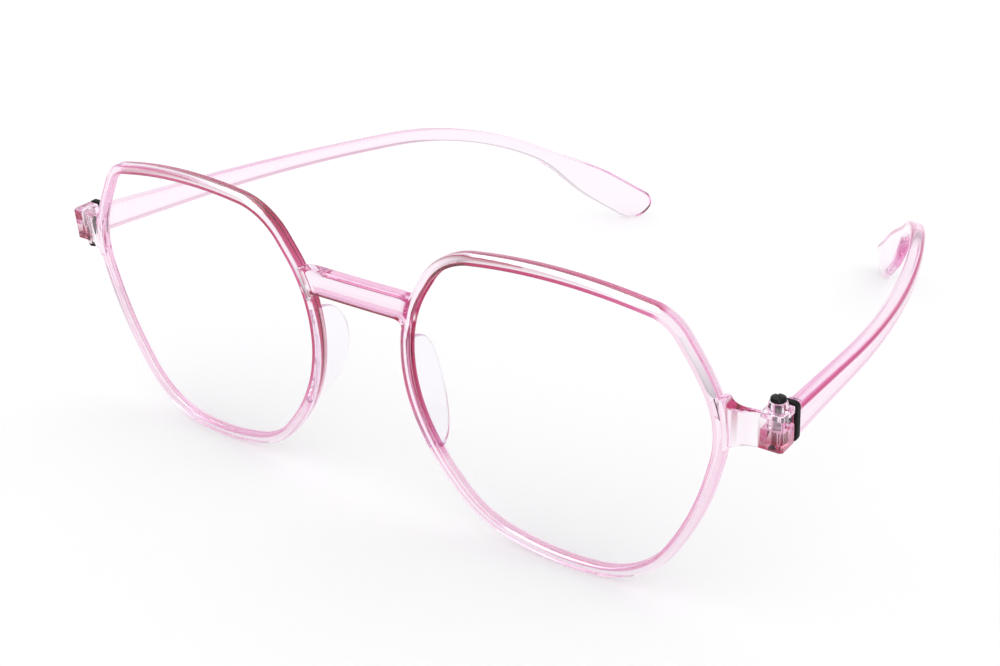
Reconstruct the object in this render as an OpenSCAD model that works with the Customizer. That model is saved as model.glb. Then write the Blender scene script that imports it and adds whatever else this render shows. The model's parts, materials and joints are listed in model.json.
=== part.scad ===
// Clear-framed glasses: one-piece front, two lenses, two nose pads and two
// folding temples. The wearer looks along -Y, and +X is the wearer's left side.

/* [Lenses] */
// Boxed width of one lens
lens_w = 53; // [42:0.5:64]
// Boxed height of one lens
lens_h = 48; // [38:0.5:58]
// Distance between the two lenses across the nose
bridge_gap = 19.6; // [16:0.2:24]
// Thickness of a lens
lens_t = 1.2; // [0.8:0.1:1.6]
// How far the lens edge sits inside the rim groove
groove_depth = 0.5; // [0.3:0.05:0.8]

/* [Front] */
// Width of the rim face around the lens opening
rim_face = 1.8; // [1.4:0.1:3]
// Depth of the rims from front to back
rim_depth = 2.3; // [2:0.1:4]
// Radius of the curve that the front follows from side to side
front_curve_r = 750; // [400:10:1500]
// Height of the bridge bar
bridge_h = 4.3; // [3.5:0.1:7]
// Depth of the bridge bar
bridge_depth = 2.8; // [2.4:0.1:5]
// Height of the middle of the bridge above the middle of the lens
bridge_z = 12.5; // [8:0.1:17]
// Height of the end pieces and their hinge blocks
end_h = 5.8; // [5:0.1:8]
// Height of the middle of the end pieces above the middle of the lens
end_z = 7.5; // [2:0.1:10]

/* [Hinges] */
// Distance from the outer edge of the rim out to the hinge axis
hinge_out = 6.1; // [4.5:0.1:9]
// Distance from the front of the rim edge back to the hinge axis
hinge_back = 3.9; // [3.5:0.1:6]
// Radius of the hinge knuckles
knuckle_r = 1.75; // [1.6:0.05:2.4]
// Radius of the round end of the temple's tongue
tongue_r = 1.4; // [1.2:0.05:1.5]
// Thickness of the temple's tongue between the two knuckles
tongue_t = 1.5; // [1.2:0.1:2]
// Height of the thin knuckle under the screw head
thin_knuckle_h = 1.05; // [0.9:0.05:1.4]
// Thickness of the block's wall in front of the tongue
block_wall = 0.75; // [0.6:0.05:1.2]
// Radius of the round boss under the screw head
boss_r = 1.65; // [1.4:0.05:1.7]
// Height of the boss above the block
boss_h = 1.2; // [0.4:0.1:2]
// Radius of the screw shank
shank_r = 0.6; // [0.5:0.05:0.7]
// Radius of the screw head
head_r = 1.15; // [1:0.05:1.4]
// Height of the screw head
head_h = 0.7; // [0.5:0.05:1]
// How much of the far knuckle the screw leaves solid at its tip
tip_skin = 0.8; // [0.5:0.1:1.5]
// Width of the slot in the screw head
slot_w = 0.35; // [0.2:0.05:0.5]

/* [Temples] */
// Thickness of a temple from side to side
temple_t = 2.6; // [2.2:0.1:3.2]
// Length of the straight part, from the hinge shoulder to the bend
arm_len = 71.8; // [55:0.1:90]
// Height of a temple at the hinge
arm_h = 5; // [4:0.1:5.6]
// Height of a temple at its slimmest
waist_h = 2.8; // [2.2:0.1:4]
// Angle that the straight part falls away from the front's own normal
arm_fall = 5.5; // [0:0.5:12]
// How far the temple's middle line starts below the middle of the end piece
arm_drop = 0.3; // [0:0.1:0.3]
// Radius of the bend over the ear
bend_r = 68; // [40:1:90]
// Angle of the bend over the ear
bend_angle = 37; // [20:1:50]
// Length of the tip behind the bend
tip_len = 21; // [16:0.2:40]
// Height of the paddle at the tip
paddle_h = 7; // [5:0.1:9]
// Length of the stretch behind the hinge before the temple curves inward
toe_len = 22; // [10:1:40]
// Inward angle of that stretch
toe_angle = 4; // [0:0.5:8]
// Radius of the inward curve of the temple behind that stretch
wrap_r = 198; // [150:1:400]

/* [Bumper rings] */
// Thickness of the rubber ring around the temple's front end
ring_t = 0.6; // [0.4:0.05:0.8]
// Width of the ring along the temple
ring_w = 1.2; // [0.8:0.1:2]
// How far the ring stands proud of the hinge block
ring_proud = 0.2; // [0.1:0.05:0.4]

/* [Nose pads] */
// How far a nose pad stands out behind the rim
pad_reach = 6; // [4:0.1:10]
// Height of a nose pad
pad_h = 18.5; // [14:0.5:24]
// Thickness of a nose pad
pad_t = 1; // [0.8:0.1:1.3]
// How far the pad's nose side lies inside the outer edge of the rim
pad_inset = 0.5; // [0.2:0.1:0.8]
// Height of the middle of a nose pad below the middle of the lens
pad_low = 2.1; // [-2:0.1:5]

/* [Fits] */
// Clearance between parts that turn past each other
move_gap = 0.1; // [0.05:0.01:0.2]
// Radial clearance of the screw shank in its holes
shank_gap = 0.05; // [0.02:0.01:0.1]

/* [Hidden] */
$fn = 48;
LEFT = 1;
RIGHT = -1;

// The lens outline is a rounded hexagon. Its corners are shares of half the
// lens width and half the lens height: outer, outer brow, inner brow, nose,
// inner cheek and outer cheek. The radii and the outward bows of its sides
// are shares of the lens height.
corner_at = [
    [1.035, 0.275], [0.73, 0.908], [-0.69, 0.952], [-1.036, -0.01], [-0.535, -0.892], [0.54, -0.96]
];
corner_r = [0.34, 0.14, 0.245, 0.55, 0.36, 0.335];
side_bow = [0.013, 0.057, 0.055, 0.037, 0.046, 0.056];
corner_steps = 8;
side_steps = 5;
side_fill = 0.98;

lens_x = (lens_w + bridge_gap) / 2;
opening_off = -groove_depth;
rim_off = rim_face - groove_depth;
slab = 200;
nudge = 1;

// Flat facets stand in for the front's large curve, so that the lenses and
// their grooves, and the pads and the rims, meet on the same faces.
facet_angle = 0.5;
facet_half = 16;
lens_from = (rim_depth - lens_t) / 2;

// Rounded polygon tools. A corner of radius r keeps its centre when the
// outline is moved out by off, so every offset is true.
function unit(v) = v / norm(v);
function turning(u, v) = atan2(u.x * v.y - u.y * v.x, u * v);
function corner_turn(p, i) =
    let (n = len(p), u = unit(p[i] - p[(i + n - 1) % n]), v = unit(p[(i + 1) % n] - p[i])) turning(u, v);
function rounded(p, r, off, i, steps) =
    let (n = len(p), u = unit(p[i] - p[(i + n - 1) % n]), t = corner_turn(p, i))
    let (centre = p[i] - u * r * tan(t / 2) + [-u.y, u.x] * r, start = atan2(-u.x, u.y))
    [for (k = [0:steps]) centre + (r + off) * [cos(start + t * k / steps), sin(start + t * k / steps)]];
function bowed(p, bow) =
    [for (i = [0:len(p) - 1]) let (q = p[(i + 1) % len(p)], d = unit(q - p[i]))
        each [p[i], (p[i] + q) / 2 + [d.y, -d.x] * bow[i]]];
function side_room(p, r, i, j) = norm(p[i] - p[j]) - r * tan(corner_turn(p, j) / 2);
function side_r(p, r, i) =
    let (n = len(p), m = len(r), j = (i - 1) / 2)
    side_fill * min(side_room(p, r[j], i, i - 1), side_room(p, r[(j + 1) % m], i, (i + 1) % n))
        / tan(corner_turn(p, i) / 2);

corners = [for (c = corner_at) [c.x * lens_w / 2, c.y * lens_h / 2]];
radii = corner_r * lens_h;
hexagon = bowed(corners, side_bow * lens_h);
function lens_outline(off) =
    [for (i = [0:len(hexagon) - 1]) each i % 2 == 0
        ? rounded(hexagon, radii[i / 2], off, i, corner_steps)
        : rounded(hexagon, side_r(hexagon, radii, i), off, i, side_steps)];
rim_outline = lens_outline(rim_off);

// Depth of the front's face behind its middle, and its facets
function front_y(x) = front_curve_r - sqrt(front_curve_r * front_curve_r - x * x);
function front_arc(depth) =
    [for (i = [-facet_half:facet_half]) let (a = i * facet_angle)
        [(front_curve_r - depth) * sin(a), front_curve_r - (front_curve_r - depth) * cos(a)]];
function reversed(p) = [for (i = [len(p) - 1:-1:0]) p[i]];

// Hinge places, measured from the outer edge of the rim
rim_edge = lens_x + max([for (p = rim_outline) p.x]);
rim_edge_y = front_y(rim_edge);
hinge_x = rim_edge + hinge_out;
hinge_y = rim_edge_y + hinge_back;
block_out = hinge_x + knuckle_r;
block_in = hinge_x - knuckle_r;
wall_back = hinge_y - tongue_r - move_gap;
block_front = wall_back - block_wall;
shoulder_y = hinge_y + knuckle_r + move_gap;
block_round = 0.6;

// Heights in the hinge, measured from the middle of the end piece. The screw
// comes in from above on the left and from below on the right.
block_top = end_h / 2;
slot_top = block_top - thin_knuckle_h;
slot_low = slot_top - tongue_t - 2 * move_gap;
head_seat = block_top + boss_h;
screw_tip = -block_top + tip_skin;
shank_hole_r = shank_r + shank_gap;
slot_depth = head_h / 2;

// Side profile of a temple: a straight arm, a bend and a straight tip. The
// middle line is walked by its length s from the shoulder.
arm_z = end_z - arm_drop;
bend_len = bend_r * bend_angle * PI / 180;
arm_start = [shoulder_y, arm_z];
bend_start = arm_start + arm_len * [cos(arm_fall), -sin(arm_fall)];
bend_end = bend_start + bend_r * [sin(arm_fall + bend_angle) - sin(arm_fall),
                                  cos(arm_fall + bend_angle) - cos(arm_fall)];
tip_r = paddle_h / 2;
walk_len = arm_len + bend_len + tip_len - tip_r;
function fall_at(s) = arm_fall + min(max((s - arm_len) / bend_len, 0), 1) * bend_angle;
function middle_at(s) =
    s < arm_len ? arm_start + s * [cos(arm_fall), -sin(arm_fall)]
    : s < arm_len + bend_len ? bend_start + bend_r * [sin(fall_at(s)) - sin(arm_fall),
                                                      cos(fall_at(s)) - cos(arm_fall)]
    : bend_end + (s - arm_len - bend_len) * [cos(fall_at(s)), -sin(fall_at(s))];

// Height of the temple along s: it slims down to the waist, and then widens
// to the paddle.
waist_at = 0.86 * arm_len;
flare_from = arm_len + 0.5 * bend_len;
flare_to = arm_len + bend_len + 0.45 * tip_len;
slim_power = 1.5;
function smooth(t) = t * t * (3 - 2 * t);
function share(a, b, s) = min(max((s - a) / (b - a), 0), 1);
function height_at(s) =
    waist_h + (arm_h - waist_h) * pow(1 - share(0, waist_at, s), slim_power)
            + (paddle_h - waist_h) * smooth(share(flare_from, flare_to, s));
function edge_at(s, side) = middle_at(s) + side * height_at(s) / 2 * [sin(fall_at(s)), cos(fall_at(s))];
walk_steps = 44;
cap_steps = 14;
walk = [for (i = [0:walk_steps]) walk_len * i / walk_steps];
tip_middle = middle_at(walk_len);
tip_fall = fall_at(walk_len);
side_profile = concat(
    [for (s = walk) edge_at(s, 1)],
    [for (k = [1:cap_steps - 1]) let (a = 90 - tip_fall - 180 * k / cap_steps)
        tip_middle + tip_r * [cos(a), sin(a)]],
    reversed([for (s = walk) edge_at(s, -1)])
);
tip_y = max([for (p = side_profile) p.x]);

// Plan profile of a temple: straight toe-in, then one long inward curve
toe_end = [block_out, shoulder_y] + toe_len * [-sin(toe_angle), cos(toe_angle)];
wrap_angle = asin(min(sin(toe_angle) + (tip_y - toe_end.y) / wrap_r, 0.9)) - toe_angle + 1;
wrap_steps = 24;
function wrap_at(r, k) =
    let (a = toe_angle + wrap_angle * k / wrap_steps, centre = toe_end - wrap_r * [cos(toe_angle), sin(toe_angle)])
    centre + r * [cos(a), sin(a)];
plan_profile = concat(
    [[block_out, shoulder_y]],
    [for (k = [0:wrap_steps]) wrap_at(wrap_r, k)],
    [for (k = [wrap_steps:-1:0]) wrap_at(wrap_r - temple_t, k)],
    [[block_out - temple_t, shoulder_y]]
);

// The glasses stand on the rims' lowest points and the temples' tips, so the
// whole model is tipped until both touch the same level.
function lowest(points, tip) = min([for (p = points) p.y * cos(tip) + p.x * sin(tip)]);
rim_side = [for (p = rim_outline) [front_y(lens_x + p.x), p.y]];
function stand(tip, rounds) =
    rounds == 0 ? tip
    : stand(tip + atan((lowest(rim_side, tip) - lowest(side_profile, tip)) / tip_y), rounds - 1);
tip_angle = stand(0, 8);
function tipped_y(p) = p.x * cos(tip_angle) - p.y * sin(tip_angle);
middle_y = (min([for (p = rim_side) tipped_y(p)]) + max([for (p = side_profile) tipped_y(p)])) / 2;
ground_z = lowest(rim_side, tip_angle);

module placed() {
    translate([0, -middle_y, -ground_z])
        rotate([tip_angle, 0, 0])
            children();
}

// Mirrors its children, made for the left, to the right side
module on_side(side) {
    mirror([side == LEFT ? 0 : 1, 0, 0])
        children();
}

// Puts a hinge part, made for a screw from above, at its height on its side
module hinge_turned(side) {
    translate([0, 0, end_z])
        mirror([0, 0, side == LEFT ? 0 : 1])
            children();
}

// A slab that follows the front's curve between two depths
module curved_slab(from, to) {
    translate([0, 0, -slab / 2])
        linear_extrude(slab)
            polygon(concat(front_arc(from), reversed(front_arc(to))));
}

// A straight prism through the front, over an outline in X and Z
module through_front(outline) {
    rotate([90, 0, 0])
        linear_extrude(slab, center = true)
            polygon(outline);
}

module lens_prism(off) {
    translate([lens_x, 0, 0])
        through_front(lens_outline(off));
}

module rim_blank() {
    intersection() {
        lens_prism(rim_off);
        curved_slab(0, rim_depth);
    }
}

module bridge_blank() {
    intersection() {
        translate([0, 0, bridge_z])
            cube([bridge_gap + rim_face, slab, bridge_h], center = true);
        curved_slab(0, bridge_depth);
    }
}

// The end piece swings back from the rim to the hinge block
module end_piece() {
    root = rim_edge - rim_face / 2;
    translate([0, 0, end_z - end_h / 2])
        linear_extrude(end_h)
            polygon([
                [root, front_y(root)],
                [rim_edge + 1, front_y(rim_edge + 1)],
                [block_in, block_front],
                [block_out - block_round, block_front],
                [block_out, block_front + block_round],
                [block_out, wall_back],
                [block_in, wall_back],
                [root, front_y(root) + rim_depth]
            ]);
}

module knuckle(low, high) {
    translate([hinge_x, hinge_y, low])
        cylinder(r = knuckle_r, h = high - low);
    translate([block_in, wall_back, low])
        cube([2 * knuckle_r, hinge_y - wall_back, high - low]);
    translate([hinge_x, wall_back, low])
        cube([knuckle_r, hinge_y + knuckle_r - wall_back, high - low]);
}

// The two knuckles with the boss, and the hole for the screw
module knuckles() {
    difference() {
        union() {
            knuckle(-block_top, slot_low);
            knuckle(slot_top, block_top);
            translate([hinge_x, hinge_y, slot_top])
                cylinder(r = boss_r, h = head_seat - slot_top);
        }
        translate([hinge_x, hinge_y, screw_tip - move_gap])
            cylinder(r = shank_hole_r, h = slab);
    }
}

module front_half(side) {
    on_side(side) {
        rim_blank();
        end_piece();
        hinge_turned(side) knuckles();
    }
}

module front_frame() {
    color([0.95, 0.72, 0.84, 0.6])
        placed()
            difference() {
                union() {
                    front_half(LEFT);
                    front_half(RIGHT);
                    bridge_blank();
                }
                for (side = [LEFT, RIGHT])
                    on_side(side) {
                        lens_prism(opening_off);
                        lens_body();
                    }
            }
}

module lens_body() {
    intersection() {
        lens_prism(0);
        curved_slab(lens_from, lens_from + lens_t);
    }
}

module lens(side) {
    color([0.96, 0.98, 1, 0.25])
        placed()
            on_side(side) lens_body();
}

// Side profile of a nose pad: an oval from its root on the rim, squarer in
// its upper half than in its lower half
pad_steps = 24;
pad_square_top = 3;
pad_square_low = 1.9;
function pad_square(u) = u > 0 ? pad_square_top : pad_square_low;
function pad_out(u) = pow(1 - pow(abs(u), pad_square(u)), 1 / pad_square(u));
function pad_profile() = concat(
    [[-nudge, -pad_h / 2]],
    [for (k = [0:pad_steps]) let (u = -cos(180 * k / pad_steps)) [pad_reach * pad_out(u), pad_h / 2 * u]],
    [[-nudge, pad_h / 2]]
);

// A clear fin along the nose side of the rim
module nose_pad(side) {
    pad_front = front_y(bridge_gap / 2) + rim_depth;
    color([0.97, 0.95, 1, 0.4])
        placed()
            on_side(side)
                difference() {
                    intersection() {
                        difference() {
                            lens_prism(rim_off - pad_inset);
                            lens_prism(rim_off - pad_inset - pad_t);
                        }
                        translate([0, pad_front, -pad_low])
                            rotate([90, 0, 90])
                                linear_extrude(lens_x)
                                    polygon(pad_profile());
                    }
                    curved_slab(-nudge, rim_depth);
                }
}

// The temple's tongue turns between the knuckles on the screw
module tongue() {
    translate([0, 0, slot_low + move_gap])
        difference() {
            union() {
                translate([hinge_x, hinge_y, 0])
                    cylinder(r = tongue_r, h = tongue_t);
                translate([ring_middle - neck_half, hinge_y, 0])
                    cube([2 * neck_half, shoulder_y + ring_w - hinge_y, tongue_t]);
            }
            translate([hinge_x, hinge_y, -nudge])
                cylinder(r = shank_hole_r, h = tongue_t + 2 * nudge);
        }
}

// Room for the rubber ring, and the ring itself, around the temple's end
ring_middle = block_out - temple_t / 2;
ring_half = [temple_t / 2 + ring_proud, end_h / 2 + ring_proud];
neck_half = ring_half.x - ring_t;
module ring_box(inset, from, to) {
    translate([ring_middle, (from + to) / 2, end_z])
        cube([2 * (ring_half.x - inset), to - from, 2 * (ring_half.y - inset)], center = true);
}

module ring_body() {
    difference() {
        ring_box(0, shoulder_y, shoulder_y + ring_w);
        ring_box(ring_t, shoulder_y - nudge, shoulder_y + ring_w + nudge);
    }
}

module temple_arm() {
    difference() {
        intersection() {
            translate([0, 0, -slab / 2])
                linear_extrude(slab)
                    polygon(plan_profile);
            rotate([90, 0, 90])
                linear_extrude(slab)
                    polygon(side_profile);
        }
        ring_box(-nudge, shoulder_y - nudge, shoulder_y + ring_w);
    }
    ring_box(ring_t, shoulder_y, shoulder_y + ring_w + nudge / 2);
}

module temple(side) {
    color([0.95, 0.72, 0.84, 0.6])
        placed()
            on_side(side) {
                temple_arm();
                hinge_turned(side) tongue();
            }
}

module hinge_screw(side) {
    color([0.08, 0.07, 0.08])
        placed()
            on_side(side)
                hinge_turned(side)
                    translate([hinge_x, hinge_y, 0])
                        difference() {
                            union() {
                                translate([0, 0, screw_tip])
                                    cylinder(r = shank_r, h = head_seat - screw_tip);
                                translate([0, 0, head_seat])
                                    cylinder(r = head_r, h = head_h);
                            }
                            translate([0, 0, head_seat + head_h])
                                cube([slot_w, 2 * head_r + nudge, 2 * slot_depth], center = true);
                        }
}

module bumper_ring(side) {
    color([0.1, 0.1, 0.1])
        placed()
            on_side(side) ring_body();
}

front_frame();
lens(LEFT);  // lens_left
lens(RIGHT);  // lens_right
nose_pad(LEFT);  // nose_pad_left
nose_pad(RIGHT);  // nose_pad_right
temple(LEFT);  // temple_left
temple(RIGHT);  // temple_right
hinge_screw(LEFT);  // hinge_screw_left
hinge_screw(RIGHT);  // hinge_screw_right
bumper_ring(LEFT);  // bumper_ring_left
bumper_ring(RIGHT);  // bumper_ring_right
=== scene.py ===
# Clear pink glasses: smooth frame, temples, lenses, pads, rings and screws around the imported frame.
import bpy
import bmesh
import json
import math
from mathutils import Matrix, Vector
from mathutils.kdtree import KDTree


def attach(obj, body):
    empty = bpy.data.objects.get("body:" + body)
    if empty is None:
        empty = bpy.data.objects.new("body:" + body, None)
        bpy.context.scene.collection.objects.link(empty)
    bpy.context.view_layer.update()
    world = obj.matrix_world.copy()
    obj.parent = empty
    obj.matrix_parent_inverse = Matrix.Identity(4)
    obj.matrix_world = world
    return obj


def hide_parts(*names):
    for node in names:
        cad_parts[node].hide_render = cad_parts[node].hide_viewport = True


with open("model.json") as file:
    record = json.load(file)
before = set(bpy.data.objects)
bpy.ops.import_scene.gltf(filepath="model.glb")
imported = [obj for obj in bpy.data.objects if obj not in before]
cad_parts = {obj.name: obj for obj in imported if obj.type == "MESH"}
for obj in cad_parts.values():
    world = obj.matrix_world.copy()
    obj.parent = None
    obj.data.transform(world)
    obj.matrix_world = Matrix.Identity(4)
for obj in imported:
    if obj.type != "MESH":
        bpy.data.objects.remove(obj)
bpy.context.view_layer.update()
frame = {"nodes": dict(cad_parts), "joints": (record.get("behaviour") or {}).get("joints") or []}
mm = 0.001

# ---------- where things are: everything is worked out in the front's own upright frame, in mm ----------
hinges = {joint["name"].split("_")[0]: joint for joint in frame["joints"]}
tip = math.atan2(-hinges["left"]["axis"][1], hinges["left"]["axis"][2])
untip = Matrix.Rotation(-tip, 3, "X")


def uprightBox(node):
    points = [untip @ v.co / mm for v in frame["nodes"][node].data.vertices]
    low = Vector([min(p[i] for p in points) for i in range(3)])
    high = Vector([max(p[i] for p in points) for i in range(3)])
    return low, high


lensLow, lensHigh = uprightBox("lens_left")
frontLow, frontHigh = uprightBox("front_frame")
padLow, padHigh = uprightBox("nose_pad_left")
ringLow, ringHigh = uprightBox("bumper_ring_left")
middle = Vector((0, frontLow.y, (lensLow.z + lensHigh.z) / 2))
hinge = untip @ Vector(hinges["left"]["pos_m"]) / mm - middle
lensX = (lensLow.x + lensHigh.x) / 2
lensW = lensHigh.x - lensLow.x
lensH = lensHigh.z - lensLow.z
padLow, padHigh, ringLow, ringHigh = (corner - middle for corner in (padLow, padHigh, ringLow, ringHigh))
toWorld = Matrix.Rotation(tip, 4, "X") @ Matrix.Translation(middle * mm) @ Matrix.Scale(mm, 4)
print("frame: tipped %.2f degrees, lens %.1f x %.1f mm" % (math.degrees(tip), lensW, lensH))

# What a user would change on the front
front = {
    "faceWidth": 1.8,       # rim seen from the front
    "depth": 2.3,           # rim from front to back
    "edgeRound": 0.62,      # rounding of the rim's edges
    "grooveDepth": 0.5,     # lens groove inside the rim
    "lensThick": 1.2,
    "curveRadius": 750.0,   # side-to-side curve of the whole front
    "bridgeHeight": 4.3,
    "bridgeDepth": 2.8,
    "bridgeMiddle": 12.5,   # above the middle of the lens
    "bridgeRound": 0.55,
    "bridgeFillet": 1.6,    # under the bridge, where it meets the rims
    "endHeight": 5.8,
    "endRound": 0.5,
    "endFillet": 2.4,       # where the end piece sweeps out of the rim
}
# Lens outline: corners as shares of half the lens width and height,
# then corner radii and bows of the sides as shares of its height
outlineShape = {
    "corners": [(1.035, 0.275), (0.73, 0.908), (-0.69, 0.952),
                (-1.036, -0.01), (-0.535, -0.892), (0.54, -0.96)],
    "radii": [0.34, 0.14, 0.245, 0.55, 0.36, 0.335],
    "bows": [0.013, 0.057, 0.055, 0.037, 0.046, 0.056],
    "cornerSteps": 16,
    "sideSteps": 12,
}


def turning(before, at, after):
    a, b = at - before, after - at
    return math.atan2(a.x * b.y - a.y * b.x, a.dot(b))


def lensArcs():
    # rounded hexagon as a list of (centre, radius, angle), one entry for each point along it
    shape = outlineShape
    corners = [Vector((x * lensW / 2, y * lensH / 2)) for x, y in shape["corners"]]
    points, radii = [], []
    for i, corner in enumerate(corners):
        after = corners[(i + 1) % len(corners)]
        way = (after - corner).normalized()
        points += [corner, (corner + after) / 2 + Vector((way.y, -way.x)) * shape["bows"][i] * lensH]
        radii += [shape["radii"][i] * lensH, None]
    count = len(points)

    def turn(i):
        return turning(points[i - 1], points[i], points[(i + 1) % count])

    for i in range(1, count, 2):
        room = []
        for j in (i - 1, (i + 1) % count):
            room.append((points[i] - points[j]).length - radii[j] * math.tan(turn(j) / 2))
        radii[i] = 0.98 * min(room) / math.tan(turn(i) / 2)
    arcs = []
    for i in range(count):
        way = (points[i] - points[i - 1]).normalized()
        bend = turn(i)
        centre = points[i] - way * radii[i] * math.tan(bend / 2) + Vector((-way.y, way.x)) * radii[i]
        start = math.atan2(-way.x, way.y)
        steps = outlineShape["sideSteps"] if i % 2 else outlineShape["cornerSteps"]
        for k in range(steps):
            arcs.append((centre, radii[i], start + bend * k / steps))
    return arcs


lensLine = lensArcs()
rimOff = front["faceWidth"] - front["grooveDepth"]


def outlineAt(off):
    return [centre + (radius + off) * Vector((math.cos(a), math.sin(a))) for centre, radius, a in lensLine]


def frontY(x):
    return front["curveRadius"] - math.sqrt(front["curveRadius"] ** 2 - x * x)


rimEdge = lensX + max(p.x for p in outlineAt(rimOff))


# ---------- mesh tools ----------
def roundLoop(corners, steps=5):
    # closed loop of (x, y, radius) corners, each turned into an arc
    loop = []
    count = len(corners)
    for i in range(count):
        at = Vector(corners[i][:2])
        before, after = Vector(corners[i - 1][:2]), Vector(corners[(i + 1) % count][:2])
        radius = corners[i][2]
        if radius <= 0:
            loop.append(at)
            continue
        bend = turning(before, at, after)
        way = (at - before).normalized()
        side = 1 if bend > 0 else -1
        normal = Vector((-way.y, way.x)) * side
        begin = at - way * radius * math.tan(abs(bend) / 2)
        centre = begin + normal * radius
        start = math.atan2(-normal.y, -normal.x)
        for k in range(steps + 1):
            a = start + bend * k / steps
            loop.append(centre + radius * Vector((math.cos(a), math.sin(a))))
    return loop


def dense(loop, gap):
    # extra points along the long straight parts of a closed loop
    filled = []
    for a, b in zip(loop, loop[1:] + loop[:1]):
        parts = max(math.ceil((b - a).length / gap - 0.001), 1)
        filled += [a + (b - a) * k / parts for k in range(parts)]
    return filled


def gridMesh(name, rows, closeRows=False):
    # rows of the same number of points, each row a closed loop
    verts = [tuple(p) for row in rows for p in row]
    wide, high = len(rows[0]), len(rows)
    faces = []
    for r in range(high if closeRows else high - 1):
        below = ((r + 1) % high) * wide
        for c in range(wide):
            d = (c + 1) % wide
            faces.append((r * wide + c, r * wide + d, below + d, below + c))
    if not closeRows:
        faces.append(tuple(range(wide - 1, -1, -1)))
        faces.append(tuple((high - 1) * wide + c for c in range(wide)))
    mesh = bpy.data.meshes.new(name)
    mesh.from_pydata(verts, [], faces)
    tidyMesh(mesh)
    return mesh


def tidyMesh(mesh):
    b = bmesh.new()
    b.from_mesh(mesh)
    bmesh.ops.remove_doubles(b, verts=b.verts, dist=1e-5)
    bmesh.ops.recalc_face_normals(b, faces=b.faces)
    b.to_mesh(mesh)
    b.free()


def addObject(name, mesh):
    piece = bpy.data.objects.new(name, mesh)
    bpy.context.scene.collection.objects.link(piece)
    return piece


def evaluated(piece, name):
    graph = bpy.context.evaluated_depsgraph_get()
    mesh = bpy.data.meshes.new_from_object(piece.evaluated_get(graph))
    mesh.name = name
    return mesh


def combined(name, base, tools, operation="UNION"):
    # base joined with, or cut by, every tool in turn
    body = addObject(name + "Base", base)
    for mesh in tools:
        tool = addObject("tool", mesh)
        modifier = body.modifiers.new("join", "BOOLEAN")
        modifier.operation = operation
        modifier.solver = "EXACT"
        modifier.object = tool
        result = evaluated(body, name)
        bpy.data.objects.remove(tool)
        body.modifiers.clear()
        body.data = result
    mesh = body.data
    bpy.data.objects.remove(body)
    return mesh


def plate(name, outline, low, high, bevel=0.12):
    # outline in x and y, pushed up from low to high, with softened edges
    verts = [(p[0], p[1], z) for z in (low, high) for p in outline]
    n = len(outline)
    faces = [tuple(range(n - 1, -1, -1)), tuple(range(n, 2 * n))]
    faces += [(i, (i + 1) % n, n + (i + 1) % n, n + i) for i in range(n)]
    mesh = bpy.data.meshes.new(name)
    mesh.from_pydata(verts, [], faces)
    b = bmesh.new()
    b.from_mesh(mesh)
    bmesh.ops.recalc_face_normals(b, faces=b.faces)
    if bevel:
        rimEdges = [e for e in b.edges if abs(e.verts[0].co.z - e.verts[1].co.z) < 1e-6]
        bmesh.ops.bevel(b, geom=rimEdges, offset=bevel, segments=3, profile=0.5, affect="EDGES",
                        clamp_overlap=True)
    b.to_mesh(mesh)
    b.free()
    return mesh


def circle(x, y, radius, steps=48):
    return [(x + radius * math.cos(2 * math.pi * k / steps), y + radius * math.sin(2 * math.pi * k / steps))
            for k in range(steps)]


def mirrored(mesh, axis):
    copy = mesh.copy()
    scale = [-1 if i == axis else 1 for i in range(3)]
    copy.transform(Matrix.Diagonal((*scale, 1)))
    copy.flip_normals()
    return copy


def shifted(mesh, z):
    mesh.transform(Matrix.Translation((0, 0, z)))
    return mesh


def finished(name, mesh, material, body, node, sharp=35, tint=None, look=None):
    # puts an upright mesh in mm into its place and hands it to the frame
    painted = mesh.color_attributes.new("tint", "FLOAT_COLOR", "POINT")
    for v in mesh.vertices:
        amount = tint(v.co) if tint else 0
        colour = (amount, amount, amount)
        if look:    # painted shade: the surface colour is darkened towards the deep crimson, the more so the more is painted
            colour = [clear * deep ** amount for clear, deep in zip(look["surface"], look["deep"])]
        painted.data[v.index].color = (*colour, 1)
    mesh.transform(toWorld)
    tidy = bmesh.new()
    tidy.from_mesh(mesh)
    bmesh.ops.remove_doubles(tidy, verts=tidy.verts, dist=2e-6)
    bmesh.ops.recalc_face_normals(tidy, faces=tidy.faces)
    for face in tidy.faces:
        face.smooth = True
    for edge in tidy.edges:
        edge.smooth = len(edge.link_faces) == 2 and edge.calc_face_angle(0) < math.radians(sharp)
    tidy.to_mesh(mesh)
    tidy.free()
    mesh.materials.clear()
    mesh.materials.append(material)
    piece = addObject(name, mesh)
    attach(piece, body)
    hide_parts(node)
    return piece


# ---------- materials ----------
def newMaterial(name):
    material = bpy.data.materials.new(name)
    material.use_nodes = True
    nodes = material.node_tree.nodes
    return material, nodes, material.node_tree.links, nodes["Principled BSDF"]


def softBump(nodes, links, shader, scale, strength, distance):
    place = nodes.new("ShaderNodeTexCoord")
    grain = nodes.new("ShaderNodeTexNoise")
    grain.inputs["Scale"].default_value = scale
    grain.inputs["Detail"].default_value = 4
    bump = nodes.new("ShaderNodeBump")
    bump.inputs["Strength"].default_value = strength
    bump.inputs["Distance"].default_value = distance
    links.new(place.outputs["Object"], grain.inputs["Vector"])
    links.new(grain.outputs["Fac"], bump.inputs["Height"])
    links.new(bump.outputs["Normal"], shader.inputs["Normal"])
    return grain


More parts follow.
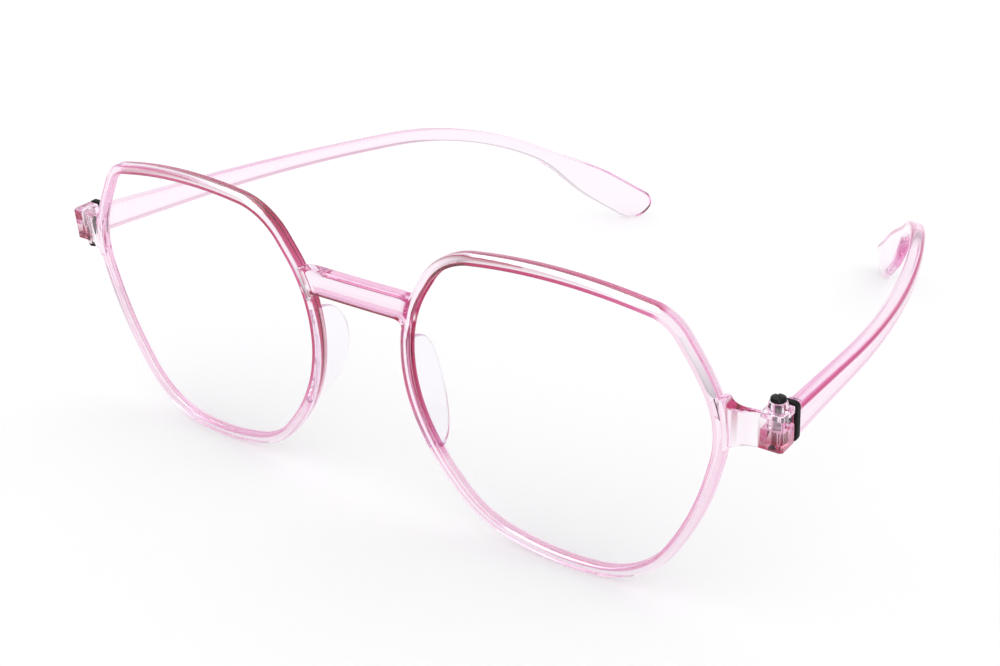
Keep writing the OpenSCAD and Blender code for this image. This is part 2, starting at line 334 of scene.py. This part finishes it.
def variedRoughness(nodes, links, shader, scale, low, high):
    place = nodes.new("ShaderNodeTexCoord")
    smudge = nodes.new("ShaderNodeTexNoise")
    smudge.inputs["Scale"].default_value = scale
    smudge.inputs["Detail"].default_value = 5
    spread = nodes.new("ShaderNodeMapRange")
    spread.inputs["To Min"].default_value = low
    spread.inputs["To Max"].default_value = high
    links.new(place.outputs["Object"], smudge.inputs["Vector"])
    links.new(smudge.outputs["Fac"], spread.inputs["Value"])
    links.new(spread.outputs["Result"], shader.inputs["Roughness"])


clearPlastic = {
    "surface": (1.0, 0.985, 1.0),
    "deep": (0.42, 0.008, 0.07),      # painted shade: the deep crimson of long light paths through the clear plastic, see the painted shade tables
    "dye": (0.88, 0.0, 0.60),       # what the dye lets through
    "dyeStrength": 42.0,            # per metre of plastic
    "index": 1.5,
    "roughness": (0.0, 0.02),
}


def makeClearPlastic(name, look):
    material, nodes, links, shader = newMaterial(name)
    # painted shade: the base colour is the painted colour attribute, deep crimson where long light paths are
    # painted
    painted = nodes.new("ShaderNodeAttribute")
    painted.attribute_name = "tint"
    links.new(painted.outputs["Color"], shader.inputs["Base Color"])
    shader.inputs["Transmission Weight"].default_value = 1
    shader.inputs["IOR"].default_value = look["index"]
    variedRoughness(nodes, links, shader, 90, *look["roughness"])
    softBump(nodes, links, shader, 260, 0.04, 0.0002)
    dye = nodes.new("ShaderNodeVolumeAbsorption")
    dye.inputs["Color"].default_value = (*look["dye"], 1)
    dye.inputs["Density"].default_value = look["dyeStrength"]
    links.new(dye.outputs["Volume"], nodes["Material Output"].inputs["Volume"])
    return material


lensLook = {"surface": (0.995, 0.997, 1.0), "index": 1.3, "roughness": (0.0, 0.01)}
padLook = {"surface": (0.985, 0.97, 1.0), "deep": (0.6, 0.5, 0.62), "dye": (0.8, 0.6, 0.95),
           "dyeStrength": 20.0, "index": 1.5,
           "roughness": (0.02, 0.08)}
ringLook = {"colour": (0.006, 0.006, 0.006), "roughness": (0.5, 0.65), "shine": 0.12}
screwLook = {"colour": (0.012, 0.011, 0.012), "shank": (0.8, 0.78, 0.79),
             "roughness": (0.14, 0.26), "shine": 0.5}


def makeLens(name, look):
    material, nodes, links, shader = newMaterial(name)
    shader.inputs["Base Color"].default_value = (*look["surface"], 1)
    shader.inputs["Transmission Weight"].default_value = 1
    shader.inputs["IOR"].default_value = look["index"]
    variedRoughness(nodes, links, shader, 60, *look["roughness"])
    return material


def makeDark(name, look, metallic, grainScale, grainStrength):
    material, nodes, links, shader = newMaterial(name)
    shader.inputs["Metallic"].default_value = metallic
    mix = nodes.new("ShaderNodeMix")
    mix.data_type = "RGBA"
    mix.inputs[6].default_value = (*look["colour"], 1)
    mix.inputs[7].default_value = (*[min(1, 2.2 * c) for c in look["colour"]], 1)
    shader.inputs["Specular IOR Level"].default_value = look["shine"]
    grain = softBump(nodes, links, shader, grainScale, grainStrength, 0.0001)
    links.new(grain.outputs["Fac"], mix.inputs[0])
    painted = nodes.new("ShaderNodeAttribute")
    painted.attribute_name = "tint"
    light = nodes.new("ShaderNodeMix")
    light.data_type = "RGBA"
    light.inputs[7].default_value = (*look.get("shank", look["colour"]), 1)
    links.new(mix.outputs[2], light.inputs[6])
    links.new(painted.outputs["Fac"], light.inputs[0])
    links.new(light.outputs[2], shader.inputs["Base Color"])
    variedRoughness(nodes, links, shader, grainScale / 3, *look["roughness"])
    return material


pinkPlastic = makeClearPlastic("clear pink plastic", clearPlastic)
padPlastic = makeClearPlastic("clear pad plastic", padLook)
lensPlastic = makeLens("clear coated lens", lensLook)
ringRubber = makeDark("black rubber", ringLook, 0.0, 3000, 0.3)
screwMetal = makeDark("black screw metal", screwLook, 1.0, 6000, 0.15)
print("materials: made")


# ---------- the front ----------
def rimMesh():
    wide, deep, edge = rimOff, front["depth"], front["edgeRound"]
    inner = -front["grooveDepth"]
    slotLow = (deep - front["lensThick"]) / 2 - 0.04
    slotHigh = slotLow + front["lensThick"] + 0.08
    section = roundLoop([
        (wide, 0, edge), (wide, deep, edge), (inner, deep, 0.3), (inner, slotHigh, 0.05),
        (0.05, slotHigh, 0), (0.05, slotLow, 0), (inner, slotLow, 0.05), (inner, 0, 0.3)])
    rows = []
    for centre, radius, a in lensLine:
        row = []
        for off, depth in section:
            x = lensX + centre.x + (radius + off) * math.cos(a)
            z = centre.y + (radius + off) * math.sin(a)
            row.append((x, frontY(x) + depth, z))
        rows.append(row)
    return gridMesh("rim", rows, closeRows=True)


def noseX(z):
    # how far from the middle the rim's nose side is at height z, halfway through the rim
    line = outlineAt(rimOff - front["faceWidth"] / 2)
    crossings = []
    for a, b in zip(line, line[1:] + line[:1]):
        if (a.y - z) * (b.y - z) <= 0 and a.y != b.y:
            crossings.append(lensX + a.x + (b.x - a.x) * (z - a.y) / (b.y - a.y))
    return min(crossings)


def bridgeMesh():
    half, deep, edge = front["bridgeHeight"] / 2, front["bridgeDepth"], front["bridgeRound"]
    section = roundLoop([(-half, 0, edge), (half, 0, edge), (half, deep, edge), (-half, deep, edge)], 6)
    section = dense(section, 0.3)
    rows = []
    steps = 60
    for k in range(steps + 1):
        t = math.sin(math.pi * (k / steps - 0.5))
        row = []
        for up, depth in section:
            z = front["bridgeMiddle"] + up
            reach = noseX(z)
            x = t * reach
            left = reach - 0.9 - abs(x)
            fillet = front["bridgeFillet"]
            if up < 0 and left < fillet:
                gap = max(fillet - left, 0)
                drop = fillet - math.sqrt(max(fillet ** 2 - min(gap, fillet) ** 2, 0))
                z -= drop * (-up / half)
            # the bar is thicker than the rims, and thins to meet them
            thin = 1 - (deep - front["depth"] + 0.1) / deep * max(0, 1 - left / 2.5) ** 2
            row.append((x, frontY(x) + depth * thin, z))
        rows.append(row)
    return gridMesh("bridge", rows)


def endMesh():
    # from inside the rim out to the end of the hinge block, swinging back on the way
    wallBack = hinge.y - knuckle["tongueRadius"] - knuckle["gap"]
    blockFront = wallBack - knuckle["wall"]
    out = hinge.x + knuckle["radius"]
    start = rimEdge - front["faceWidth"] / 2
    half = front["endHeight"] / 2
    rows = []
    steps = 48
    for k in range(steps + 1):
        t = k / steps
        x = start + (out - start) * (1 - (1 - t) ** 1.6)
        swing = min(max((x - rimEdge - 0.4) / (hinge.x - knuckle["radius"] - rimEdge - 0.2), 0), 1)
        swing = swing * swing * (3 - 2 * swing)
        near = frontY(x) + (blockFront - frontY(x)) * swing + 0.06
        back = frontY(start) + front["depth"] - 0.15
        back += (wallBack + 0.05 - back) * swing
        tall = half
        away = x - rimEdge
        fillet = front["endFillet"]
        if away < fillet:
            gap = min(max(fillet - away, 0), fillet)
            tall += 0.55 * (fillet - math.sqrt(max(fillet ** 2 - gap ** 2, 0)))
        left = out - x
        corner = 0.45
        if left < corner:
            pull = corner - math.sqrt(max(corner ** 2 - (corner - left) ** 2, 0))
            near, back, tall = near + pull, back, tall - pull
        edge = min(front["endRound"], (back - near) * 0.45)
        soft = edge * 0.4
        loop = roundLoop([(near, -tall, edge), (back, -tall, soft),
                          (back, tall, soft), (near, tall, edge)], 5)
        rows.append([(x, y, hinge.z + z) for y, z in loop])
    return gridMesh("end", rows)


knuckle = {
    "radius": 1.75,
    "gap": 0.1,
    "wall": 0.75,
    "tongueRadius": 1.4,
    "tongue": 1.5,
    "thin": 1.05,        # height of the knuckle under the screw head
    "bossRadius": 1.65,
    "bossHeight": 1.2,
    "hole": 0.65,
    "skin": 0.8,         # left solid beyond the screw's tip
}
blockHalf = front["endHeight"] / 2
slotTop = blockHalf - knuckle["thin"]
slotLow = slotTop - knuckle["tongue"] - 2 * knuckle["gap"]


def knuckleMeshes():
    # heights from the middle of the end piece, screw coming from above
    r = knuckle["radius"]
    wall = hinge.y - knuckle["tongueRadius"] - knuckle["gap"] - 0.3
    outline = roundLoop([
        (hinge.x - r, wall, 0), (hinge.x + r, wall, 0),
        (hinge.x + r, hinge.y + r, 0.35), (hinge.x - r, hinge.y + r, r * 0.98)], 12)
    pieces = [plate("low knuckle", outline, -blockHalf + 0.001, slotLow, 0.14),
              plate("top knuckle", outline, slotTop, blockHalf - 0.001, 0.14)]
    boss = []
    top = blockHalf + knuckle["bossHeight"]
    profile = [(0.1, -0.2), (0.0, 0.0), (0.08, 0.12), (0.2, 0.35),
               (0.28, 0.6), (0.34, 0.88), (0.42, 0.97), (0.52, 1.0)]    # narrower by, share of the height
    for narrow, share in profile:
        radius, up = knuckle["bossRadius"] - narrow, share * knuckle["bossHeight"]
        boss.append([(x, y, blockHalf + up) for x, y in circle(hinge.x, hinge.y, radius, 48)])
    pieces.append(gridMesh("boss", boss))
    bottom = -blockHalf + knuckle["skin"] - 0.1
    hole = plate("hole", circle(hinge.x, hinge.y, knuckle["hole"], 32), bottom, top + 1, 0)
    return pieces, hole


def sideMeshes(side):
    rim, end = rimMesh(), endMesh()
    parts, hole = knuckleMeshes()
    if side < 0:
        parts, hole = [mirrored(p, 2) for p in parts], mirrored(hole, 2)
    parts, hole = [shifted(p, hinge.z) for p in parts], shifted(hole, hinge.z)
    meshes = [rim, end] + parts + [hole]
    return meshes if side > 0 else [mirrored(m, 0) for m in meshes]


# painted shade: how much deep crimson is painted into the front's colour, by place, where long light paths
# through the clear plastic show
paintedShading = {
    "brow": 2.0, "browAngle": 116, "browSpread": 56,      # degrees round the lens, 90 is up and 180 the nose
    "nose": 1.5, "noseAngle": 178, "noseSpread": 42,
    "rest": 0.12,            # everywhere else in the groove
    "edges": 0.3,          # thin lines along the rim's edges
    "bridge": 3.5, "reach": 1.0,
    "block": 1.5, "neck": 1.2,
}
grooveLine = KDTree(len(lensLine))
for index, point in enumerate(outlineAt(0)):
    grooveLine.insert((point.x, point.y, 0), index)
grooveLine.balance()


def bump(value, middle, spread):
    return max(1 - ((value - middle) / spread) ** 2, 0)


def frontPaintedShade(co):
    # painted shade: deep crimson is painted round the lens groove, along the rim's edges and at the lower
    # front edge of the bridge, standing for long light paths through the clear plastic
    amount = 0
    point = Vector((abs(co.x) - lensX, co.z))
    index = grooveLine.find((point.x, point.y, 0))[1]
    centre, radius, a = lensLine[index]
    outward = Vector((math.cos(a), math.sin(a)))
    off = (point - centre - radius * outward).dot(outward)
    depth = co.y - frontY(co.x)
    degrees = math.degrees(a) % 360
    around = max(paintedShading["brow"] * bump(degrees, paintedShading["browAngle"], paintedShading["browSpread"]) ** 1.5,
                 paintedShading["nose"] * bump(degrees, paintedShading["noseAngle"], paintedShading["noseSpread"]) ** 1.5,
                 paintedShading["rest"])
    onSide = off < -0.3 or rimOff - 0.25 < off < rimOff
    onFace = depth < 0.25 or depth > front["depth"] - 0.25
    if off < 0.3 and depth > 0.3:
        amount = around
    elif onSide and onFace:
        amount = paintedShading["edges"] * (0.3 + 0.5 * around)
    half = front["bridgeHeight"] / 2
    up = co.z - front["bridgeMiddle"] + half
    if abs(co.x) < noseX(front["bridgeMiddle"] - half) - 1.0 and -1.8 < up < paintedShading["reach"]:
        amount = paintedShading["bridge"] * (bump(up, 0.4, 0.45) if depth < 1 else 0.05)
    elif abs(co.x) < noseX(front["bridgeMiddle"] + half) - 1.0 and abs(up - half) < half + 0.1:
        amount = 0.5 * bump(up, 2 * half - 0.3, 0.3) if depth > 1 else 0
    if abs(co.x) > rimEdge + 0.2:
        up = co.z - hinge.z
        amount = paintedShading["block"] * bump(up, 0.55 - blockHalf, 0.6) if abs(co.x) > hinge.x - 1.9 else 0
        if up > blockHalf + 0.05 and abs(co.x) < rimEdge + front["endFillet"]:
            amount = paintedShading["neck"]
    return amount


leftSide, rightSide = sideMeshes(1), sideMeshes(-1)
frontMesh = combined("front", bridgeMesh(), leftSide[:-1] + rightSide[:-1])
frontMesh = combined("front", frontMesh, [leftSide[-1], rightSide[-1]], "DIFFERENCE")
# the front gets its painted shade here
finished("clearFront", frontMesh, pinkPlastic, "front", "front_frame", 32, frontPaintedShade,
         clearPlastic)
print("front: %d faces" % len(frontMesh.polygons))


# ---------- lenses ----------
def lensMesh():
    gap = 0.03
    near = (front["depth"] - front["lensThick"]) / 2 + gap
    far = near + front["lensThick"] - 2 * gap
    rings = 14
    centre = Vector((0, 0))
    edge = outlineAt(-gap)
    soft = outlineAt(-gap - 0.12)
    verts, faces = [], []

    def layer(points, depth):
        begin = len(verts)
        for p in points:
            x = lensX + p.x
            verts.append((x, frontY(x) + depth, p.y))
        return begin

    rows = []
    for k in range(1, rings + 1):
        share = k / rings
        rows.append(layer([centre + (p - centre) * share for p in soft], near))
    rows.append(layer(edge, near + 0.1))
    rows.append(layer(edge, far - 0.1))
    for k in range(rings, 0, -1):
        share = k / rings
        rows.append(layer([centre + (p - centre) * share for p in soft], far))
    n = len(soft)
    for a, b in zip(rows, rows[1:]):
        faces += [(a + i, a + (i + 1) % n, b + (i + 1) % n, b + i) for i in range(n)]
    for begin, depth in ((rows[0], near), (rows[-1], far)):
        tipPoint = len(verts)
        verts.append((lensX, frontY(lensX) + depth, 0))
        faces += [(tipPoint, begin + i, begin + (i + 1) % n) for i in range(n)]
    mesh = bpy.data.meshes.new("lens")
    mesh.from_pydata(verts, [], faces)
    return mesh


finished("lensLeft", lensMesh(), lensPlastic, "front", "lens_left")
finished("lensRight", mirrored(lensMesh(), 0), lensPlastic, "front", "lens_right")
print("lenses: made")

# ---------- nose pads ----------
pad = {
    "thick": 1.0,
    "inset": 0.5,       # inside the rim's outer edge
    "reach": 6.0,
    "squareTop": 2.2,
    "squareLow": 1.9,
    "stations": 44,
}


def padMesh():
    line = outlineAt(0)
    noseSide = [i for i, p in enumerate(line) if p.x < 0]
    low, high = padLow.z, padHigh.z
    midZ, half = (low + high) / 2, (high - low) / 2
    arcs = [lensLine[i] for i in noseSide]

    def pointAt(z, off):
        best = []
        for (c1, r1, a1), (c2, r2, a2) in zip(arcs, arcs[1:]):
            p = c1 + (r1 + off) * Vector((math.cos(a1), math.sin(a1)))
            q = c2 + (r2 + off) * Vector((math.cos(a2), math.sin(a2)))
            if (p.y - z) * (q.y - z) <= 0 and p.y != q.y:
                best.append(p.x + (q.x - p.x) * (z - p.y) / (q.y - p.y))
        return lensX + min(best)

    rows = []
    outside = rimOff - pad["inset"]
    for k in range(pad["stations"] + 1):
        u = -math.cos(math.pi * k / pad["stations"]) * 0.995
        square = pad["squareTop"] if u > 0 else pad["squareLow"]
        reach = max(pad["reach"] * (1 - abs(u) ** square) ** (1 / square), 0.25)
        z = midZ + u * half
        nose, lensSide = pointAt(z, outside), pointAt(z, outside - pad["thick"])
        root = frontY(nose) + front["depth"] - 0.35
        tipY = frontY(nose) + front["depth"] + reach
        wide = lensSide - nose
        edge = min(wide * 0.46, reach * 0.4)
        loop = roundLoop([(0, root, 0), (wide, root, 0), (wide, tipY, edge), (0, tipY, edge)], 6)
        rows.append([(nose + x, y, z) for x, y in loop])
    return gridMesh("pad", rows)


padBase = padMesh()
for label, side, mesh in (("Left", "left", padBase), ("Right", "right", mirrored(padBase, 0))):
    finished("nosePad" + label, mesh, padPlastic, "front", "nose_pad_" + side, 40, None, padLook)
print("nose pads: made")

# ---------- temples ----------
temple = {
    "thick": 2.6,
    "armLength": 71.8,
    "hingeHeight": 5.0,
    "waistHeight": 2.8,
    "fall": 5.5,          # degrees, straight part
    "drop": 0.3,
    "bendRadius": 68.0,
    "bendAngle": 37.0,
    "tipLength": 21.0,
    "paddleHeight": 7.0,
    "toeLength": 22.0,
    "toeAngle": 4.0,
    "wrapRadius": 198.0,
    "edgeRound": 0.7,
    "tipThick": 0.62,     # share of the thickness left at the tip
    "steps": 130,
}


def smooth(t):
    t = min(max(t, 0), 1)
    return t * t * (3 - 2 * t)


def templeWalk(s):
    # middle line in y and z, and the angle that it falls at, at length s from the shoulder
    shoulder = Vector((hinge.y + knuckle["radius"] + knuckle["gap"], hinge.z - temple["drop"]))
    fall, arm, radius = math.radians(temple["fall"]), temple["armLength"], temple["bendRadius"]
    bend = math.radians(temple["bendAngle"])
    if s < arm:
        return shoulder + s * Vector((math.cos(fall), -math.sin(fall))), fall
    a = fall + min((s - arm) / radius, bend)
    point = shoulder + arm * Vector((math.cos(fall), -math.sin(fall)))
    point += radius * Vector((math.sin(a) - math.sin(fall), math.cos(a) - math.cos(fall)))
    rest = s - arm - radius * bend
    if rest > 0:
        point += rest * Vector((math.cos(a), -math.sin(a)))
    return point, a


def templeHeight(s):
    arm, bendLength = temple["armLength"], temple["bendRadius"] * math.radians(temple["bendAngle"])
    slim = (1 - min(s / (0.86 * arm), 1)) ** 1.5
    begin, end = arm + 0.78 * bendLength, arm + bendLength + 0.45 * temple["tipLength"]
    widen = smooth((s - begin) / (end - begin))
    return (temple["waistHeight"] + (temple["hingeHeight"] - temple["waistHeight"]) * slim
            + (temple["paddleHeight"] - temple["waistHeight"]) * widen)


def templePlan(y):
    # x of the outer face and the inward angle there
    shoulder = hinge.y + knuckle["radius"] + knuckle["gap"]
    toe = math.radians(temple["toeAngle"])
    outer = hinge.x + knuckle["radius"]
    bendY = shoulder + temple["toeLength"] * math.cos(toe)
    if y < bendY:
        return outer - (y - shoulder) * math.tan(toe), toe
    a = math.asin(min(math.sin(toe) + (y - bendY) / temple["wrapRadius"], 0.95))
    bendX = outer - temple["toeLength"] * math.sin(toe)
    return bendX - temple["wrapRadius"] * (math.cos(toe) - math.cos(a)), a


def templeArm():
    bendLength = temple["bendRadius"] * math.radians(temple["bendAngle"])
    capRadius = temple["paddleHeight"] / 2
    walkLength = temple["armLength"] + bendLength + temple["tipLength"] - capRadius
    start = ringHigh.y - ringLow.y
    stations = []
    for k in range(temple["steps"] + 1):
        stations.append((start + (walkLength - start) * k / temple["steps"], 1.0))
    for k in range(1, 15):
        a = 0.5 * math.pi * k / 14
        stations.append((walkLength + capRadius * math.sin(a), max(math.cos(a), 0.02)))
    rows = []
    for s, roundness in stations:
        point, fall = templeWalk(s)
        high = templeHeight(s) / 2 * roundness
        up = Vector((math.sin(fall), math.cos(fall)))
        thinning = 1 - (1 - temple["tipThick"]) * smooth((s - walkLength * 0.72) / (walkLength * 0.28))
        thick = temple["thick"] * thinning
        soft = max(roundness, 0.02) ** 0.35
        edge = min(temple["edgeRound"], high * 0.9, thick * 0.47)
        half = thick / 2 * soft
        edge = min(edge, half * 0.95, high * 0.95)
        loop = roundLoop([(-half, -high, edge), (half, -high, edge),
                          (half, high, edge), (-half, high, edge)], 6)
        row = []
        for across, along in loop:
            y = point.x + up.x * along
            z = point.y + up.y * along
            outer, inward = templePlan(y)
            centreX = outer - temple["thick"] / 2 / math.cos(inward)
            row.append((centreX + across / math.cos(inward), y, z))
        rows.append(row)
    # square the front end off against the ring
    first = [(x, ringHigh.y + 0.01, z) for x, y, z in rows[0]]
    rows = [first] + rows[1:]
    return gridMesh("arm", rows)


def templeHead():
    # neck inside the ring, and the tongue between the knuckles
    ringThick = 0.6
    wideHalf = (ringHigh.x - ringLow.x) / 2 - ringThick
    highHalf = (ringHigh.z - ringLow.z) / 2 - ringThick
    midX = (ringHigh.x + ringLow.x) / 2
    shoulder = ringLow.y
    rows = []
    for y, shrink in ((shoulder, 0.1), (shoulder + 0.1, 0), (ringHigh.y + 1.2, 0)):
        wide, high = wideHalf - shrink, highHalf - shrink
        loop = roundLoop([(-wide, -high, 0.2), (wide, -high, 0.2), (wide, high, 0.2), (-wide, high, 0.2)], 4)
        rows.append([(midX + x, y, hinge.z + z) for x, z in loop])
    neck = gridMesh("neck", rows)
    r = knuckle["tongueRadius"]
    outline = []
    for k in range(37):
        a = math.radians(90 + 360 * k / 36)
        outline.append((hinge.x + r * math.cos(a), hinge.y + r * math.sin(a)))
    outline = [p for p in outline if p[1] < hinge.y + 0.6]
    right, left = midX + wideHalf - 0.05, midX - wideHalf + 0.05
    outline += [(right, hinge.y + 0.9), (right, shoulder + 0.6),
                (left, shoulder + 0.6), (left, hinge.y + 0.9)]
    tongue = plate("tongue", outline, slotLow + knuckle["gap"], slotTop - knuckle["gap"], 0.1)
    hole = plate("tongue hole", circle(hinge.x, hinge.y, knuckle["hole"], 32), slotLow - 1, slotTop + 1, 0)
    return neck, tongue, hole


# painted shade along the temple's edges: strength, width and fade
templePaintedShading = {
    "upperEdge": 1.0,
    "lowerEdge": 0.1,
    "width": 0.75,
    "fade": (70, 100),    # mm behind the front
}


def templePaintedShade(place):
    # painted shade: thin darker lines along the upper and lower edges of the arm, standing for light running
    # along the clear plastic
    co = Vector((abs(place.x), place.y, place.z))
    point, fall, high = min(templeLine, key=lambda entry: (entry[0] - Vector((co.y, co.z))).length)
    start, stop = templePaintedShading["fade"]
    left = 1 - smooth((co.y - start) / (stop - start))
    up = (Vector((co.y, co.z)) - point).dot(Vector((math.sin(fall), math.cos(fall))))
    if co.y < ringHigh.y + 0.5:
        return 0
    outside = co.x > templePlan(co.y)[0] - temple["thick"] / 2
    if up > high / 2 - templePaintedShading["width"]:
        if not outside:
            return 0
        return left * templePaintedShading["upperEdge"] * bump(up, high / 2 - 0.35, 0.34)
    return left * templePaintedShading["lowerEdge"] * bump(up, 0.35 - high / 2, 0.34)


bendLength = temple["bendRadius"] * math.radians(temple["bendAngle"])
templeEnd = temple["armLength"] + bendLength + temple["tipLength"]
templeLine = [(*templeWalk(s), templeHeight(s)) for s in [templeEnd * k / 160 for k in range(161)]]

for label, side in (("Left", 1), ("Right", -1)):
    arm = templeArm()
    neck, tongue, hole = templeHead()
    if side < 0:
        tongue, hole = mirrored(tongue, 2), mirrored(hole, 2)
    tongue, hole = shifted(tongue, hinge.z), shifted(hole, hinge.z)
    mesh = combined("temple", arm, [neck, tongue])
    mesh = combined("temple", mesh, [hole], "DIFFERENCE")
    if side < 0:
        mesh = mirrored(mesh, 0)
    name = label.lower()
    # the temples get their painted shade here
    finished("temple" + label, mesh, pinkPlastic, name + "_temple", "temple_" + name, 32,
             templePaintedShade, clearPlastic)
print("temples: made")

# ---------- rubber rings and screws ----------
ring = {"thick": 0.6, "steps": 6}
screw = {"headRadius": 1.15, "headHeight": 0.7, "slotWidth": 0.35, "shankRadius": 0.6, "slotTurn": 35.0}


def ringMesh():
    wide, high = (ringHigh.x - ringLow.x) / 2, (ringHigh.z - ringLow.z) / 2
    midX, midZ = (ringHigh.x + ringLow.x) / 2, (ringHigh.z + ringLow.z) / 2
    deep, thick = ringHigh.y - ringLow.y, ring["thick"]
    section = roundLoop([(0.02, 0, 0.1), (thick, 0, 0.26),
                         (thick, deep, 0.26), (0.02, deep, 0.1)], ring["steps"])
    inner = roundLoop([(-wide + thick, -high + thick, 0.25), (wide - thick, -high + thick, 0.25),
                       (wide - thick, high - thick, 0.25), (-wide + thick, high - thick, 0.25)], 8)
    rows = []
    count = len(inner)
    for i, p in enumerate(inner):
        way = (inner[(i + 1) % count] - inner[i - 1]).normalized()
        out = Vector((way.y, -way.x))
        rows.append([(midX + p.x + out.x * add, ringLow.y + y, midZ + p.y + out.y * add)
                     for add, y in section])
    return gridMesh("ring", rows, closeRows=True)


def screwMesh():
    # heights from the middle of the end piece
    seat = blockHalf + knuckle["bossHeight"]
    low = -blockHalf + knuckle["skin"]
    r, h, shank = screw["headRadius"], screw["headHeight"], screw["shankRadius"]
    profile = [(0.05, low), (shank * 0.6, low), (shank, low + 0.35), (shank, seat), (r - 0.12, seat),
               (r, seat + 0.1),
               (r, seat + h * 0.5), (r * 0.93, seat + h * 0.78), (r * 0.75, seat + h * 0.94),
               (r * 0.4, seat + h),
               (0.05, seat + h)]
    rows = [[(x, y, z) for x, y in circle(hinge.x, hinge.y, radius, 48)] for radius, z in profile]
    body = gridMesh("screw", rows)
    w, long = screw["slotWidth"] / 2, r + 0.5
    turn = Matrix.Rotation(math.radians(screw["slotTurn"]), 2)
    corners = [turn @ Vector(c) for c in ((-w, -long), (w, -long), (w, long), (-w, long))]
    outline = [(hinge.x + c.x, hinge.y + c.y) for c in corners]
    slotBox = plate("slot", outline, seat + h * 0.5, seat + h + 1, 0)
    return combined("screw", body, [slotBox], "DIFFERENCE")


for label, side in (("Left", 1), ("Right", -1)):
    name = label.lower()
    ringShape, screwShape = ringMesh(), screwMesh()
    if side < 0:
        ringShape, screwShape = mirrored(ringShape, 0), mirrored(mirrored(screwShape, 2), 0)
    screwShape = shifted(screwShape, hinge.z)
    finished("bumperRing" + label, ringShape, ringRubber, name + "_temple", "bumper_ring_" + name,
             50)
    finished("hingeScrew" + label, screwShape, screwMetal, "front", "hinge_screw_" + name, 40,
             lambda co: 1 if abs(co.z - hinge.z) < blockHalf + knuckle["bossHeight"] - 0.1 else 0)
print("rings and screws: made")

# ---------- floor, light and camera ----------
studio = {"floor": (0.93, 0.93, 0.935), "floorSize": 8.0, "sky": 1.0, "horizon": 0.55, "lamp": 1.8}
camera = {"place": (0.15207, -0.23263, 0.13713), "azimuth": 36.983, "elevation": 25.575,
          "roll": -1.558, "focal": 56.302}


def makeStudio():
    half = studio["floorSize"] / 2
    mesh = bpy.data.meshes.new("floor")
    corners = [(-half, -half, 0), (half, -half, 0), (half, half, 0), (-half, half, 0)]
    mesh.from_pydata(corners, [], [(0, 1, 2, 3)])
    floor = addObject("floor", mesh)
    material, nodes, links, shader = newMaterial("pale floor")
    shader.inputs["Base Color"].default_value = (*studio["floor"], 1)
    shader.inputs["Roughness"].default_value = 0.9
    shader.inputs["Specular IOR Level"].default_value = 0.1
    mesh.materials.append(material)
    world = bpy.data.worlds.new("studio")
    bpy.context.scene.world = world
    world.cycles.sampling_method = "NONE"    # so that clear plastic lets the sky through to the floor
    world.use_nodes = True
    nodes, links = world.node_tree.nodes, world.node_tree.links
    place = nodes.new("ShaderNodeTexCoord")
    split = nodes.new("ShaderNodeSeparateXYZ")
    ramp = nodes.new("ShaderNodeMapRange")
    ramp.inputs["From Min"].default_value = 0.0
    ramp.inputs["From Max"].default_value = 0.35
    ramp.inputs["To Min"].default_value = studio["horizon"]
    ramp.inputs["To Max"].default_value = studio["sky"]
    links.new(place.outputs["Generated"], split.inputs[0])
    links.new(split.outputs["Z"], ramp.inputs["Value"])
    links.new(ramp.outputs["Result"], nodes["Background"].inputs["Color"])
    light = bpy.data.lights.new("soft light", "AREA")
    light.shape, light.size, light.size_y = "RECTANGLE", 0.9, 0.6
    light.energy = studio["lamp"]
    light.use_shadow = False
    lamp = bpy.data.objects.new("soft light", light)
    lamp.location = (-0.35, 0.25, 0.9)
    lamp.rotation_euler = (Vector((0, 0, 0)) - Vector(lamp.location)).to_track_quat("-Z", "Y").to_euler()
    bpy.context.scene.collection.objects.link(lamp)


def makeCamera():
    data = bpy.data.cameras.new("camera")
    data.sensor_width, data.lens = 36, camera["focal"]
    data.clip_start = 0.01
    a, e, roll = (math.radians(camera[k]) for k in ("azimuth", "elevation", "roll"))
    view = Vector((-math.sin(a) * math.cos(e), math.cos(a) * math.cos(e), -math.sin(e)))
    right = Vector((math.cos(a), math.sin(a), 0))
    up = right.cross(view)
    tiltedRight = right * math.cos(roll) + up * math.sin(roll)
    tiltedUp = up * math.cos(roll) - right * math.sin(roll)
    place = Matrix((tiltedRight, tiltedUp, -view)).transposed().to_4x4()
    place.translation = camera["place"]
    piece = bpy.data.objects.new("camera", data)
    piece.matrix_world = place
    bpy.context.scene.collection.objects.link(piece)
    bpy.context.scene.camera = piece


makeStudio()
makeCamera()
scene = bpy.context.scene
scene.view_settings.view_transform = "Standard"
scene.cycles.max_bounces = 80
scene.cycles.transmission_bounces = 80
scene.cycles.glossy_bounces = 80
scene.cycles.transparent_max_bounces = 16
print("studio: made")
